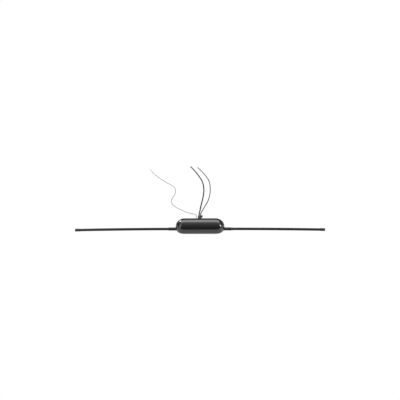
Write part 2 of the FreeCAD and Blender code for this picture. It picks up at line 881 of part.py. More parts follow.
def cord_path(name, route):
    """Straight runs joined by tangent arcs as large as their two runs allow."""
    points = route_points(route)
    edges = []
    radii = []
    last = points[0]
    for before, corner, after in zip(points, points[1:], points[2:]):
        come = (corner - before).normalize()
        go = (after - corner).normalize()
        turn = come.getAngle(go)
        run = min((corner - before).Length, (after - corner).Length)
        radius = arc_share * run / math.tan(turn / 2)
        radii.append(radius)
        start = corner - come * (arc_share * run)
        end = corner + go * (arc_share * run)
        inward = (go - come).normalize()
        middle = corner + inward * (radius / math.cos(turn / 2) - radius)
        edges.append(Part.LineSegment(last, start).toShape())
        edges.append(Part.Arc(start, middle, end).toShape())
        last = end
    edges.append(Part.LineSegment(last, points[-1]).toShape())
    path = Part.Wire(edges)
    print(f"{name}: length {path.Length:.1f}, smallest radius {min(radii):.1f}")
    print("  radii", [round(radius, 1) for radius in radii])
    return path


def cord_tube(name, route, diameter):
    """Plain round tube along a cord's route."""
    points = route_points(route)
    path = cord_path(name, route)
    circle = Part.Circle(points[0], points[1] - points[0], diameter / 2).toShape()
    tube = path.makePipeShell([Part.Wire(circle)], True, False)
    expected = path.Length * math.pi * diameter ** 2 / 4
    print(f"  volume {tube.Volume:.1f}, section times length {expected:.1f}")
    return tube


def lead_tie():
    """Cable tie round the two black leads just behind the gland, its head and cut tail on the right."""
    y0 = gland_end + tie_distance - tie_width / 2
    middle_x = (coax_x + power_x) / 2 + (power_diameter - coax_diameter) / 4
    width = power_x - coax_x + (coax_diameter + power_diameter) / 2 + 2 * tie_gap
    height = coax_diameter + 2 * tie_gap + tie_sag
    centre = V(middle_x, y0, lead_z - tie_sag / 2)
    inner = rounded_rectangle(width, height, coax_diameter / 2, centre, RIGHT, UP)
    outer = rounded_rectangle(width + 2 * tie_thickness, height + 2 * tie_thickness,
                              coax_diameter / 2 + tie_thickness, centre, RIGHT, UP)
    strap = Part.Face(outer).extrude(REAR * tie_width)
    head_x = middle_x + width / 2
    head_y = y0 + tie_width / 2 - tie_head_size / 2
    head_top = lead_z + tie_head_size / 2
    head = box(head_x, head_x + tie_head_height, head_y, head_y + tie_head_size,
               head_top - tie_head_size, head_top)
    tail_x = head_x + tie_head_height / 2
    tail = box(tail_x, tail_x + tie_thickness, y0, y0 + tie_width, lead_z, head_top + tie_tail_length)
    tie = strap.fuse([head.makeFillet(tie_head_corner, head.Edges), tail]).removeSplitter()
    return tie.cut(Part.Face(inner).extrude(REAR * (tie_width + 2 * cut_over)).translated(REAR * -cut_over))


def lead_tail(name, x, diameter):
    """Short tail of a lead from the rear wall up over the edge of the board."""
    start_y = half_depth - pod_wall - slip_fit - gland_flange_thickness
    top = board_top + diameter / 2
    route = [
        (x, start_y, lead_z),
        (x, board_rear + diameter / 2 + tail_slope_length, lead_z),
        (x, board_rear + diameter / 2, top),
        (x, tail_drop_y, top),
    ]
    return cord_tube(name, route, diameter)


def coax_saddle():
    """Metal strap soldered to the board over the coaxial tail."""
    y1 = board_rear - saddle_from_edge
    y0 = y1 - saddle_width
    gap = saddle_gap
    half = coax_diameter / 2 + gap
    outer = half + saddle_thickness
    top = board_top + coax_diameter / 2
    arch = box(coax_x - outer, coax_x + outer, y0, y1, board_top, top)
    arch = arch.fuse(Part.makeCylinder(outer, saddle_width, V(coax_x, y0, top), REAR))
    feet = box(coax_x - outer - saddle_foot, coax_x + outer, y0, y1, board_top, board_top + saddle_thickness)
    strap = arch.fuse(feet).removeSplitter()
    strap = strap.cut(box(coax_x - half, coax_x + half, y0, y1, board_top, top))
    strap = strap.cut(Part.makeCylinder(half, saddle_width, V(coax_x, y0, top), REAR))
    return strap.common(box(coax_x - outer - saddle_foot, coax_x + outer, y0, y1, board_top, top + outer))


# Coils and ties

def coil_half_width(diameter, turns):
    """Half the width of a coil's bundle, from its turns a layer."""
    return (turns / coil_layers + 1) * diameter / 2


def coil_solid(place, radius, diameter, turns):
    """Outer shape of a wound coil: a ring of rounded rectangular section."""
    width = 2 * coil_half_width(diameter, turns)
    height = coil_layers * diameter
    centre = V(place[0] + radius, place[1], coil_base + height / 2)
    section = rounded_rectangle(width, height, coil_corner_share * height, centre, RIGHT, UP)
    return Part.Face(section).revolve(V(place[0], place[1], 0), UP, 360)


def coil_tie(place, radius, diameter, turns, angles):
    """Flat ties round the bundle of a coil, as one group."""
    half = coil_half_width(diameter, turns) + coil_tie_gap
    top = coil_base + coil_layers * diameter + coil_tie_gap
    skin = coil_tie_thickness
    loops = []
    for angle in angles:
        loop = box(radius - half - skin, radius + half + skin, -coil_tie_width / 2, coil_tie_width / 2,
                   0, top + skin)
        loop = loop.cut(box(radius - half, radius + half, -coil_tie_width, coil_tie_width, skin, top))
        loop.rotate(V(0, 0, 0), UP, angle)
        loop.translate(V(place[0], place[1], 0))
        loops.append(loop)
    return Part.makeCompound(loops)


def free_lead(name, route, diameter, coil):
    """Tube of a lead, ended where it meets its coil."""
    return cord_tube(name, route, diameter).cut(coil)


# Antenna plug, turned about its axis and pointing to the left

def turned(profile, start, heading):
    """Solid of revolution about X of a half profile of (x, r) points, placed at start along heading."""
    points = [V(x, 0, r) for x, r in profile]
    points = [V(profile[0][0], 0, 0)] + points + [V(profile[-1][0], 0, 0)]
    clean = [points[0]]
    for point in points[1:]:
        if (point - clean[-1]).Length > 1e-6:
            clean.append(point)
    face = Part.Face(Part.makePolygon(clean + [clean[0]]))
    solid = face.revolve(V(0, 0, 0), RIGHT, 360)
    solid.rotate(V(0, 0, 0), UP, heading)
    return solid.translated(start)


plug_heading = 180
plug_origin = V(plug_start[0], plug_start[1], boot_radius)


def plug_boot():
    """Moulded boot: a tapered strain relief, then a ribbed grip."""
    grip = boot_length - boot_shoulder
    profile = [(0, boot_root_radius), (grip - boot_shoulder_slope, boot_radius - boot_shoulder_step),
               (grip, boot_radius)]
    for i in range(boot_rib_count):
        x = boot_rib_start + i * boot_rib_pitch
        profile.append((x, boot_radius))
        profile.append((x, boot_radius - boot_rib_depth))
        profile.append((x + boot_rib_width, boot_radius - boot_rib_depth))
        profile.append((x + boot_rib_width, boot_radius))
    profile.append((boot_length - boot_chamfer, boot_radius))
    profile.append((boot_length, boot_radius - boot_chamfer))
    return turned(profile, plug_origin, plug_heading)


def plug_barrel():
    """Plated sleeve with four slots that let it spring in the socket."""
    end = boot_length + barrel_length
    outer = turned([(boot_length, barrel_radius), (end - barrel_chamfer, barrel_radius),
                    (end, barrel_radius - barrel_chamfer)], plug_origin, plug_heading)
    bore = barrel_radius - barrel_wall
    hollow = turned([(boot_length + barrel_collar_length, bore), (end + cut_over, bore)],
                    plug_origin, plug_heading)
    barrel = outer.cut(hollow)
    for turn in barrel_slot_turns:
        reach = barrel_radius + cut_over
        slot = box(end - barrel_slot_length, end + cut_over, -reach, reach,
                   -barrel_slot_width / 2, barrel_slot_width / 2)
        slot.rotate(V(0, 0, 0), RIGHT, turn)
        slot.rotate(V(0, 0, 0), UP, plug_heading)
        barrel = barrel.cut(slot.translated(plug_origin))
    return barrel


def plug_insulator():
    """White plastic bush between the sleeve and the centre pin."""
    start = boot_length + barrel_collar_length
    end = boot_length + barrel_length
    radius = barrel_radius - barrel_wall - slip_fit
    bush = turned([(start, radius), (end, radius)], plug_origin, plug_heading)
    hole_radius = plug_pin_root_radius + slip_fit
    hole = turned([(start - cut_over, hole_radius), (end + cut_over, hole_radius)], plug_origin, plug_heading)
    return bush.cut(hole)


def nose_points(end, length, radius):
    """Points of a rounded nose that runs out at end, down to a small flat."""
    points = []
    widest = math.acos(nose_flat)
    for step in range(1, nose_steps + 1):
        angle = widest * step / nose_steps
        points.append((end - length + length * math.sin(angle) / math.sin(widest), radius * math.cos(angle)))
    return points


def plug_pin():
    """Centre pin: a thin root in the bush and a thicker free end with a rounded nose."""
    start = boot_length + barrel_collar_length
    face = boot_length + barrel_length
    end = face + plug_pin_length
    profile = [
        (start, plug_pin_root_radius),
        (face, plug_pin_root_radius),
        (face, plug_pin_radius),
        (end - plug_pin_nose, plug_pin_radius),
    ]
    return turned(profile + nose_points(end, plug_pin_nose, plug_pin_radius), plug_origin, plug_heading)


# Ends of the power and earth leads

bullet_origin = V(bullet_start[0], bullet_start[1], bullet_sleeve_radius)
ring_origin = V(ring_start[0], ring_start[1], ring_crimp_radius)


def bullet_sleeve():
    """Insulating sleeve over the bullet's crimp."""
    end = bullet_sleeve_length
    chamfer = bullet_sleeve_chamfer
    profile = [(0, bullet_sleeve_root), (bullet_sleeve_taper, bullet_sleeve_radius),
               (end - chamfer, bullet_sleeve_radius), (end, bullet_sleeve_radius - chamfer)]
    return turned(profile, bullet_origin, 0)


def bullet_contact():
    """Plated bullet with a waist and a rounded nose."""
    start = bullet_sleeve_length
    waist = start + bullet_waist_start
    end = start + bullet_length
    profile = [
        (start, bullet_radius),
        (waist, bullet_radius),
        (waist + bullet_waist_slope, bullet_radius - bullet_waist_depth),
        (waist + bullet_waist_length - bullet_waist_slope, bullet_radius - bullet_waist_depth),
        (waist + bullet_waist_length, bullet_radius),
        (end - bullet_nose, bullet_radius),
    ]
    return turned(profile + nose_points(end, bullet_nose, bullet_radius), bullet_origin, 0)


def ring_terminal():
    """Tinned ring terminal: a crimped barrel and a flat ring that lies on the surface."""
    crimp = turned([(0, ring_crimp_radius), (ring_crimp_length, ring_crimp_radius)], ring_origin, 0)
    ring_x = ring_start[0] + ring_reach
    ring_y = ring_start[1]
    ring = Part.makeCylinder(ring_outer_radius, ring_thickness, V(ring_x, ring_y, 0))
    neck = box(ring_start[0] + ring_crimp_length - ring_neck_lap, ring_x, ring_y - ring_neck_width / 2,
               ring_y + ring_neck_width / 2, 0, ring_thickness)
    body = crimp.fuse([ring, neck]).removeSplitter()
    return body.cut(Part.makeCylinder(ring_hole_radius, 3 * ring_thickness, V(ring_x, ring_y, -ring_thickness)))


os.makedirs("parts", exist_ok=True)

# Pod
node("base_tray", base_tray())
node("upper_cover", upper_cover())
node("adhesive_pad", stadium(pad_length, pad_depth, 0, pad_thickness))
node("cover_screws", cover_screws())
node("circuit_board", circuit_board())
node("board_screws", board_screws())
node("transformer_core", transformer_core())
node("transformer_winding", transformer_winding())
node("transistor", transistor())
node("capacitors", capacitors())
node("choke", choke())
node("chip_parts", chip_parts())

# Elements and what grips them, right side first and then its mirror image
for piece, shape in (
    ("terminal_block", terminal_block()),
    ("terminal_screw", terminal_screw()),
    ("element_core", element_core()),
    ("element_jacket", element_jacket()),
    ("root_sleeve", root_sleeve()),
    ("tip_cap", tip_cap()),
):
    node(f"{piece}_right", shape)
    node(f"{piece}_left", mirrored(shape))

# Where the leads leave
node("lead_gland", lead_gland())
node("earth_grommet", earth_grommet())
node("lead_tie", lead_tie())
node("coax_tail", lead_tail("coax tail", coax_x, coax_diameter))
node("power_tail", lead_tail("power tail", power_x, power_diameter))
node("earth_tail", lead_tail("earth tail", earth_exit_x, earth_diameter))
node("coax_saddle", coax_saddle())

# Coaxial lead
coax_coil = coil_solid(coax_coil_place, coax_coil_radius, coax_diameter, coax_coil_turns)
node("coax_cable", free_lead("coax cable", coax_route, coax_diameter, coax_coil))
node("coax_coil", coax_coil)
node("coax_coil_ties", coil_tie(coax_coil_place, coax_coil_radius, coax_diameter, coax_coil_turns, (60, 240)))
node("coax_cable_end", free_lead("coax cable end", coax_end_route, coax_diameter, coax_coil))
node("plug_boot", plug_boot())
node("plug_barrel", plug_barrel())
node("plug_insulator", plug_insulator())
node("plug_pin", plug_pin())

# Power lead
power_coil = coil_solid(power_coil_place, power_coil_radius, power_diameter, power_coil_turns)
node("power_lead", free_lead("power lead", power_route, power_diameter, power_coil))
node("power_coil", power_coil)
node("power_coil_tie", coil_tie(power_coil_place, power_coil_radius, power_diameter, power_coil_turns, (0,)))
node("power_lead_end", free_lead("power lead end", power_end_route, power_diameter, power_coil))
node("bullet_sleeve", bullet_sleeve())
node("bullet_contact", bullet_contact())

# Earth lead
earth_coil = coil_solid(earth_coil_place, earth_coil_radius, earth_diameter, earth_coil_turns)
node("earth_lead", free_lead("earth lead", earth_route, earth_diameter, earth_coil))
node("earth_coil", earth_coil)
node("earth_coil_tie", coil_tie(earth_coil_place, earth_coil_radius, earth_diameter, earth_coil_turns, (0,)))
node("earth_lead_end", free_lead("earth lead end", earth_end_route, earth_diameter, earth_coil))
node("ring_terminal", ring_terminal())

for name, shape in nodes:
    if not shape.isValid() or shape.Volume <= 0:
        print("check this shape:", name, shape.isValid(), shape.Volume)
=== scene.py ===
"""Looks of the hideaway car antenna: cover, cords at their real length, finishes, studio and camera."""
import logging
import math
from abc import ABC, abstractmethod
from dataclasses import dataclass
from enum import Enum

import bmesh
import bpy
import numpy as np
from mathutils import Matrix, Vector


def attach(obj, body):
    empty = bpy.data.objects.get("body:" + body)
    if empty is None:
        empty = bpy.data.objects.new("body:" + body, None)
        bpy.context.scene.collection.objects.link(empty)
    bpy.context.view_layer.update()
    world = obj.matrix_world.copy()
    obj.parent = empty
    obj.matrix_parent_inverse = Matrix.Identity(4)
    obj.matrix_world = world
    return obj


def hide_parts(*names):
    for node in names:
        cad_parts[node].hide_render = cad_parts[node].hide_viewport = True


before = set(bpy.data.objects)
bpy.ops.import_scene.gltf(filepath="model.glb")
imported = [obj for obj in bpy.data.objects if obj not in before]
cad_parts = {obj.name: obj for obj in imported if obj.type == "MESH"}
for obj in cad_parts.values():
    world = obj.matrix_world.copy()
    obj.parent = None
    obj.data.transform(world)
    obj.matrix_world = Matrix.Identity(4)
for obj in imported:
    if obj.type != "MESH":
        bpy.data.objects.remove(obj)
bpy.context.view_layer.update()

log = logging.getLogger("car_antenna")

MM = 0.001
BODY = "root"
EARTH_LENGTH_MM = 840.0
MERGE_M = 1e-6
COLLAPSE_M = 1e-7
WHITE = (1.0, 1.0, 1.0, 1.0)

Point = tuple[float, float, float]
Stop = tuple[float, float]


# Nodes and colours

def linear(hex_colour: str) -> tuple[float, float, float, float]:
    """Turn an sRGB hex colour into linear red, green, blue and alpha.

    Args:
        hex_colour: six hex digits after a hash sign.

    Returns:
        The linear colour, with alpha 1.
    """
    parts = [int(hex_colour[i:i + 2], 16) / 255 for i in (1, 3, 5)]
    red, green, blue = (c / 12.92 if c <= 0.04045 else ((c + 0.055) / 1.055) ** 2.4 for c in parts)
    return red, green, blue, 1.0


def add_node(tree: bpy.types.NodeTree, kind: str, inputs: dict | None = None, **settings) -> bpy.types.Node:
    """Add a node with its settings, values and links.

    Args:
        tree: the node tree.
        kind: the node's type name.
        inputs: socket name or index to a value, or to the output socket that feeds it.
        settings: properties of the node itself.

    Returns:
        The new node.
    """
    node = tree.nodes.new(kind)
    for name, value in settings.items():
        setattr(node, name, value)
    for socket, value in (inputs or {}).items():
        if isinstance(value, bpy.types.NodeSocket):
            tree.links.new(value, node.inputs[socket])
        else:
            node.inputs[socket].default_value = value
    return node


def new_material(name: str) -> tuple[bpy.types.Material, bpy.types.NodeTree, bpy.types.Node]:
    """Make an empty material.

    Args:
        name: the material's name.

    Returns:
        The material, its node tree and its output node.
    """
    material = bpy.data.materials.new(name)
    material.use_nodes = True
    tree = material.node_tree
    tree.nodes.clear()
    return material, tree, add_node(tree, "ShaderNodeOutputMaterial")


# Finishes

class Grain(Enum):
    """How a surface was made: the share of fine texture along X, Y and Z."""

    MOULDED = (1.0, 1.0, 1.0)
    EXTRUDED = (0.04, 1.0, 1.0)


class Finish(ABC):
    """What a piece is made of."""

    name: str

    @abstractmethod
    def material(self) -> bpy.types.Material:
        """Build the finish as a procedural material.

        Returns:
            The new material.
        """


@dataclass(frozen=True)
class Solid(Finish):
    """An opaque solid whose surface shows how it was worked.

    The roughness goes from its first value to its second while the patch noise crosses gloss_span.
    """

    name: str
    colour: str
    worn_colour: str
    roughness: tuple[float, float]
    grain_mm: float
    grain_depth_mm: float
    grain: Grain = Grain.MOULDED
    shine: float = 0.5
    patch_mm: float = 14.0
    patch_detail: float = 4.0
    grain_detail: float = 3.0
    gloss_span: tuple[float, float] = (0.3, 0.7)
    metallic: float = 0.0

    def material(self) -> bpy.types.Material:
        """Build the material: two close tones in soft patches, uneven gloss and a fine grain as bump.

        Returns:
            The new material.
        """
        material, tree, output = new_material(self.name)
        place = add_node(tree, "ShaderNodeTexCoord").outputs["Object"]
        stretch = Vector(self.grain.value) / (self.grain_mm * MM)
        fine_place = add_node(tree, "ShaderNodeMapping", {"Vector": place, "Scale": stretch})
        fine = add_node(tree, "ShaderNodeTexNoise", {
            "Vector": fine_place.outputs[0], "Scale": 1.0, "Detail": self.grain_detail})
        patch = add_node(tree, "ShaderNodeTexNoise", {
            "Vector": place, "Scale": 1.0 / (self.patch_mm * MM), "Detail": self.patch_detail}).outputs["Fac"]
        tone = add_node(tree, "ShaderNodeMix", {
            0: patch, 6: linear(self.colour), 7: linear(self.worn_colour)}, data_type="RGBA")
        gloss = add_node(tree, "ShaderNodeMapRange", {
            "Value": patch, "From Min": self.gloss_span[0], "From Max": self.gloss_span[1],
            "To Min": self.roughness[0], "To Max": self.roughness[1]})
        bump = add_node(tree, "ShaderNodeBump", {
            "Height": fine.outputs["Fac"], "Strength": 1.0, "Distance": self.grain_depth_mm * MM})
        shader = add_node(tree, "ShaderNodeBsdfPrincipled", {
            "Base Color": tone.outputs[2], "Metallic": self.metallic, "Roughness": gloss.outputs[0],
            "Specular IOR Level": self.shine, "Normal": bump.outputs[0]})
        tree.links.new(shader.outputs[0], output.inputs[0])
        return material


@dataclass(frozen=True)
class Plastic(Solid):
    """A coloured plastic or rubber, moulded or extruded: faint, wide patches and a fine grain."""


@dataclass(frozen=True)
class Metal(Solid):
    """A plated, machined or drawn metal: small, slightly dulled patches and fine tool marks."""

    patch_mm: float = 2.5
    patch_detail: float = 3.0
    grain_detail: float = 2.0
    gloss_span: tuple[float, float] = (0.0, 1.0)
    metallic: float = 1.0


@dataclass(frozen=True)
class ClearWire(Finish):
    """Clear PVC insulation over tinned twisted strands: a pale grey wire whose strands show in the tin's
    grey, with painted shade in the gaps between them, which gives a painted twisted glint.
    """

    name: str = "clear_pvc_over_strands"
    strand: str = "#6f6f69"
    # darker tone between the strands: painted shade, not a colour of the wire
    painted_gap_shade: str = "#5a5a55"
    strands_mm: float = 2.4
    roughness: float = 0.3
    shine: float = 0.35

    def material(self) -> bpy.types.Material:
        """Build the material: strand bands that run round the wire as they go along it, under a clear skin.
        The darker colour between the strand bands is painted shade.

        Returns:
            The new material.
        """
        material, tree, output = new_material(self.name)
        uv = add_node(tree, "ShaderNodeTexCoord").outputs["UV"]
        split = add_node(tree, "ShaderNodeSeparateXYZ", {"Vector": uv})
        along = add_node(tree, "ShaderNodeMath", {0: split.outputs[0], 1: EARTH_LENGTH_MM / self.strands_mm},
                         operation="MULTIPLY")
        phase = add_node(tree, "ShaderNodeMath", {0: along.outputs[0], 1: split.outputs[1]}, operation="ADD")
        turn = add_node(tree, "ShaderNodeMath", {0: phase.outputs[0], 1: 2 * math.pi}, operation="MULTIPLY")
        wave = add_node(tree, "ShaderNodeMath", {0: turn.outputs[0]}, operation="SINE")
        share = add_node(tree, "ShaderNodeMapRange", {
            "Value": wave.outputs[0], "From Min": -1.0, "From Max": 1.0})
        colour = add_node(tree, "ShaderNodeValToRGB", {"Fac": share.outputs[0]})
        # the first ramp colour is painted shade between the strands, the second the strands' tin grey
        colour.color_ramp.elements[0].color = linear(self.painted_gap_shade)
        colour.color_ramp.elements[1].color = linear(self.strand)
        shader = add_node(tree, "ShaderNodeBsdfPrincipled", {
            "Base Color": colour.outputs[0], "Roughness": self.roughness, "Specular IOR Level": self.shine})
        tree.links.new(shader.outputs[0], output.inputs[0])
        return material


# Moulded ABS, polished tool: deep black with a mirror-like skin and a trace of orange peel
POD_ABS = Plastic("moulded_abs_gloss", "#0b0b0d", "#0f0f11", (0.09, 0.15), 1.6, 0.004)
# Extruded PVC: satin black, with faint lines along the strip
STRIP_PVC = Plastic("extruded_pvc_satin", "#09090a", "#0d0d0e", (0.29, 0.34), 0.5, 0.003, Grain.EXTRUDED,
                    shine=0.15)
# Soft PVC of sleeves and caps: a little duller than the strip
SLEEVE_PVC = Plastic("soft_pvc_satin", "#080809", "#0e0e0f", (0.3, 0.4), 0.3, 0.006, shine=0.18)
# Moulded PVC of strain reliefs and boots: matt, fine spark texture from the tool
GLAND_PVC = Plastic("moulded_pvc_matt", "#0b0b0c", "#151516", (0.48, 0.62), 0.25, 0.012, shine=0.25)
# Cable PVC: satin, slightly uneven where it was wound on a drum
COAX_PVC = Plastic("coax_jacket_pvc", "#09090a", "#0f0f10", (0.2, 0.3), 0.4, 0.006, shine=0.25, patch_mm=9.0)
POWER_PVC = Plastic("power_wire_pvc", "#09090a", "#0f0f10", (0.2, 0.3), 0.35, 0.005, shine=0.25, patch_mm=7.0)
# Clear wire PVC, through which the strands show, with painted shade between them
CLEAR_WIRE = ClearWire()
# Nylon tie: dull sheen
TIE_NYLON = Plastic("moulded_nylon", "#101011", "#1b1b1c", (0.38, 0.5), 0.3, 0.008)
# Vinyl sleeve of the bullet: saturated red, glossy
BULLET_VINYL = Plastic("moulded_vinyl_red", "#8e1512", "#7a100e", (0.22, 0.34), 0.4, 0.006)
# Closed-cell acrylic foam: charcoal, dull, with open pores at its cut edge
PAD_FOAM = Plastic("acrylic_foam_tape", "#232324", "#2d2d2e", (0.8, 0.92), 0.35, 0.08)
# Solder mask over glass laminate, and what is soldered to it
BOARD_MASK = Plastic("board_solder_mask", "#0d4a24", "#0a3f1e", (0.25, 0.38), 0.8, 0.004)
PART_EPOXY = Plastic("moulded_epoxy", "#17171a", "#202024", (0.45, 0.6), 0.2, 0.008)
CAN_SLEEVE = Plastic("shrink_sleeve_blue", "#1c2448", "#232c54", (0.22, 0.35), 0.6, 0.004)
CHOKE_LACQUER = Plastic("dipped_lacquer_green", "#1d4a33", "#24573d", (0.2, 0.32), 0.7, 0.01)
FERRITE = Plastic("sintered_ferrite", "#2c2c2f", "#3a3a3d", (0.55, 0.75), 0.15, 0.02)
# Acetal bush of the plug: milky, turned
ACETAL = Plastic("turned_acetal_natural", "#e6e3d8", "#d8d4c6", (0.35, 0.5), 0.4, 0.008)
# Nickel on brass: warm grey mirror
NICKEL = Metal("nickel_plate_turned", "#cdc7bb", "#b8b1a4", (0.16, 0.28), 0.25, 0.004)
BRASS = Metal("machined_brass", "#c9a14a", "#a98237", (0.24, 0.4), 0.25, 0.006)
COPPER = Metal("enamelled_copper", "#a8552b", "#8c4220", (0.2, 0.32), 0.2, 0.003)
TIN = Metal("tinned_copper_pressed", "#c2c1bb", "#a5a49e", (0.28, 0.42), 0.3, 0.006)
STEEL = Metal("zinc_plated_steel", "#b9bcc0", "#9ea1a6", (0.25, 0.42), 0.25, 0.005)
SPRING_STRIP = Metal("tinned_spring_strip", "#bcbbb6", "#9c9b97", (0.3, 0.45), 0.3, 0.005, Grain.EXTRUDED)


class Paints:
    """Keeps one material for each finish, and dresses pieces and carried-over nodes with it."""

    def __init__(self) -> None:
        """Start with no material made."""
        self.made: dict[str, bpy.types.Material] = {}

    def of(self, finish: Finish) -> bpy.types.Material:
        """Give the material of a finish, making it the first time.

        Args:
            finish: the finish.

        Returns:
            Its one material.
        """
        if finish.name not in self.made:
            self.made[finish.name] = finish.material()
        return self.made[finish.name]

    def dress(self, obj: bpy.types.Object, finish: Finish) -> None:
        """Put a finish on every slot of an object.

        Args:
            obj: a new piece or a CAD node.
            finish: what it is made of.
        """
        material = self.of(finish)
        if not obj.data.materials:
            obj.data.materials.append(material)
        for slot in obj.material_slots:
            slot.link = "OBJECT"
            slot.material = material


@dataclass(frozen=True)
class CarriedNodes:
    """A group of nodes that stay as model.glb has them, and what each of them is made of."""

    name: str
    finishes: dict[str, Finish]

    def build(self, paints: Paints) -> None:
        """Dress each node of the group.

        Args:
            paints: the materials made so far.
        """
        for node, finish in self.finishes.items():
            paints.dress(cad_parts[node], finish)
        log.info("%s: %d nodes", self.name, len(self.finishes))


HOUSING = CarriedNodes("housing", {
    "base_tray": POD_ABS, "adhesive_pad": PAD_FOAM, "cover_screws": STEEL,
})
ELECTRONICS = CarriedNodes("electronics", {
    "circuit_board": BOARD_MASK, "board_screws": STEEL, "transformer_core": FERRITE,
    "transformer_winding": COPPER, "transistor": PART_EPOXY, "chip_parts": PART_EPOXY,
    "capacitors": CAN_SLEEVE, "choke": CHOKE_LACQUER, "coax_saddle": TIN,
    "coax_tail": COAX_PVC, "power_tail": POWER_PVC, "earth_tail": CLEAR_WIRE,
    "terminal_block_left": BRASS, "terminal_block_right": BRASS,
    "terminal_screw_left": STEEL, "terminal_screw_right": STEEL,
    "element_core_left": SPRING_STRIP, "element_core_right": SPRING_STRIP,
})
ELEMENTS = CarriedNodes("elements", {
    "element_jacket_left": STRIP_PVC, "element_jacket_right": STRIP_PVC,
    "root_sleeve_left": SLEEVE_PVC, "root_sleeve_right": SLEEVE_PVC,
    "tip_cap_left": SLEEVE_PVC, "tip_cap_right": SLEEVE_PVC,
})
FITTINGS = CarriedNodes("fittings", {
    "lead_gland": GLAND_PVC, "earth_grommet": GLAND_PVC, "plug_boot": GLAND_PVC, "lead_tie": TIE_NYLON,
    "coax_coil_ties": TIE_NYLON, "power_coil_tie": TIE_NYLON, "earth_coil_tie": TIE_NYLON,
    "plug_barrel": NICKEL, "plug_pin": NICKEL, "bullet_contact": NICKEL, "bullet_sleeve": BULLET_VINYL,
    "plug_insulator": ACETAL, "ring_terminal": TIN,
})


# Cover of the pod

def band_faces(rows: int, columns: int) -> np.ndarray:
    """Quads of a grid of points whose last column joins the first.

    Args:
        rows: number of rows.
        columns: number of columns.

    Returns:
        An array of four indices for each quad, counter-clockwise seen from outside.
    """
    r = np.arange(rows - 1)[:, None]
    c = np.arange(columns)[None, :]
    after = (c + 1) % columns
    quads = [r * columns + c, r * columns + after, (r + 1) * columns + after, (r + 1) * columns + c]
    return np.stack(quads, axis=-1).reshape(-1, 4)


def mesh_piece(name: str, points: np.ndarray, faces: np.ndarray, crisp_degrees: float) -> bpy.types.Object:
    """Make a smooth-shaded object of points in millimetres, with doubles merged and faces outward.

    Args:
        name: the piece's name.
        points: an array of points, one row each.
        faces: an array of indices, one row for each face.
        crisp_degrees: edges sharper than this angle stay crisp.

    Returns:
        The new object, linked to the scene.
    """
    mesh = bpy.data.meshes.new(name)
    mesh.from_pydata((points * MM).tolist(), [], faces.tolist())
    work = bmesh.new()
    work.from_mesh(mesh)
    bmesh.ops.remove_doubles(work, verts=work.verts, dist=MERGE_M)
    bmesh.ops.dissolve_degenerate(work, edges=work.edges, dist=COLLAPSE_M)
    bmesh.ops.recalc_face_normals(work, faces=work.faces)
    for face in work.faces:
        face.smooth = True
    work.to_mesh(mesh)
    work.free()
    mesh.set_sharp_from_angle(angle=math.radians(crisp_degrees))
    obj = bpy.data.objects.new(name, mesh)
    bpy.context.scene.collection.objects.link(obj)
    return obj


@dataclass
class Cover:
    """Domed upper shell of the capsule-shaped housing, from the parting line up, in millimetres."""

    length: float = 109.0
    depth: float = 39.6
    parting: float = 10.0
    crown: float = 28.4
    groove: float = 0.35
    edge: float = 0.04
    wall: float = 2.0
    arc_steps: int = 48
    straight_steps: int = 40
    outer_steps: int = 44
    inner_steps: int = 16
    crisp_degrees: float = 38.0

    def plan(self) -> tuple[np.ndarray, np.ndarray]:
        """Closed walk round the capsule: where each column's centre lies on X, and its outward direction.

        Returns:
            The centre of each column along X, and an array of unit vectors in the plane of X and Y.
        """
        reach = self.length / 2 - self.depth / 2
        turn = np.linspace(-90, 90, self.arc_steps + 1)
        straight = np.linspace(1, -1, self.straight_steps + 1)[1:-1]
        even = np.ones(len(straight))
        angles = np.radians(np.concatenate([turn, 90 * even, turn + 180, 270 * even]))
        arc = np.full(len(turn), reach)
        centres = np.concatenate([arc, straight * reach, -arc, -straight * reach])
        return centres, np.stack([np.cos(angles), np.sin(angles)], axis=1)

    def wrap(self, name: str, section: np.ndarray) -> bpy.types.Object:
        """Carry a section of (radius, height) pairs round the capsule's plan.

        The point for column c and section point s is the column's centre plus the section's radius times the
        column's outward direction, at the section's height.

        Args:
            name: the piece's name.
            section: pairs of distance from the middle line and height, closed at both ends.

        Returns:
            The new piece.
        """
        centres, out = self.plan()
        radius = section[:, 0][:, None]
        x = centres[None, :] + radius * out[None, :, 0]
        y = radius * out[None, :, 1]
        z = np.broadcast_to(section[:, 1][:, None], x.shape)
        points = np.stack([x, y, z], axis=-1).reshape(-1, 3)
        return mesh_piece(name, points, band_faces(len(section), len(centres)), self.crisp_degrees)

    def dome(self, half: float, base: float, height: float, steps: int) -> np.ndarray:
        """Quarter of an ellipse: radius is half times cosine, height is base plus height times sine.

        Args:
            half: radius at the foot.
            base: height of the foot.
            height: rise from the foot to the crown.
            steps: number of points.

        Returns:
            Pairs of radius and height, from the foot to the crown.
        """
        angle = np.linspace(0, math.pi / 2, steps)
        return np.stack([half * np.cos(angle), base + height * np.sin(angle)], axis=1)

    def shell(self) -> bpy.types.Object:
        """Make the shell: the outer dome, its small chamfer at the parting line, and the inner dome.

        Returns:
            The new piece.
        """
        half = self.depth / 2
        rise = self.crown - self.parting
        chamfer = np.array([[half - self.groove, self.parting],
                            [half - self.edge, self.parting + self.groove - self.edge]])
        outer = self.dome(half, self.parting + self.groove, rise - self.groove, self.outer_steps)
        inner = self.dome(half - self.wall, self.parting, rise - self.wall, self.inner_steps)[::-1]
        return self.wrap("cover_shell", np.concatenate([chamfer, outer, inner, chamfer[:1]]))

    def build(self, paints: Paints) -> None:
        """Args:
            paints: the materials made so far.
        """
        cover = self.shell()
        paints.dress(cover, POD_ABS)
        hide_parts("upper_cover")
        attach(cover, BODY)
        log.info("pod cover: %d vertices", len(cover.data.vertices))


# Cords

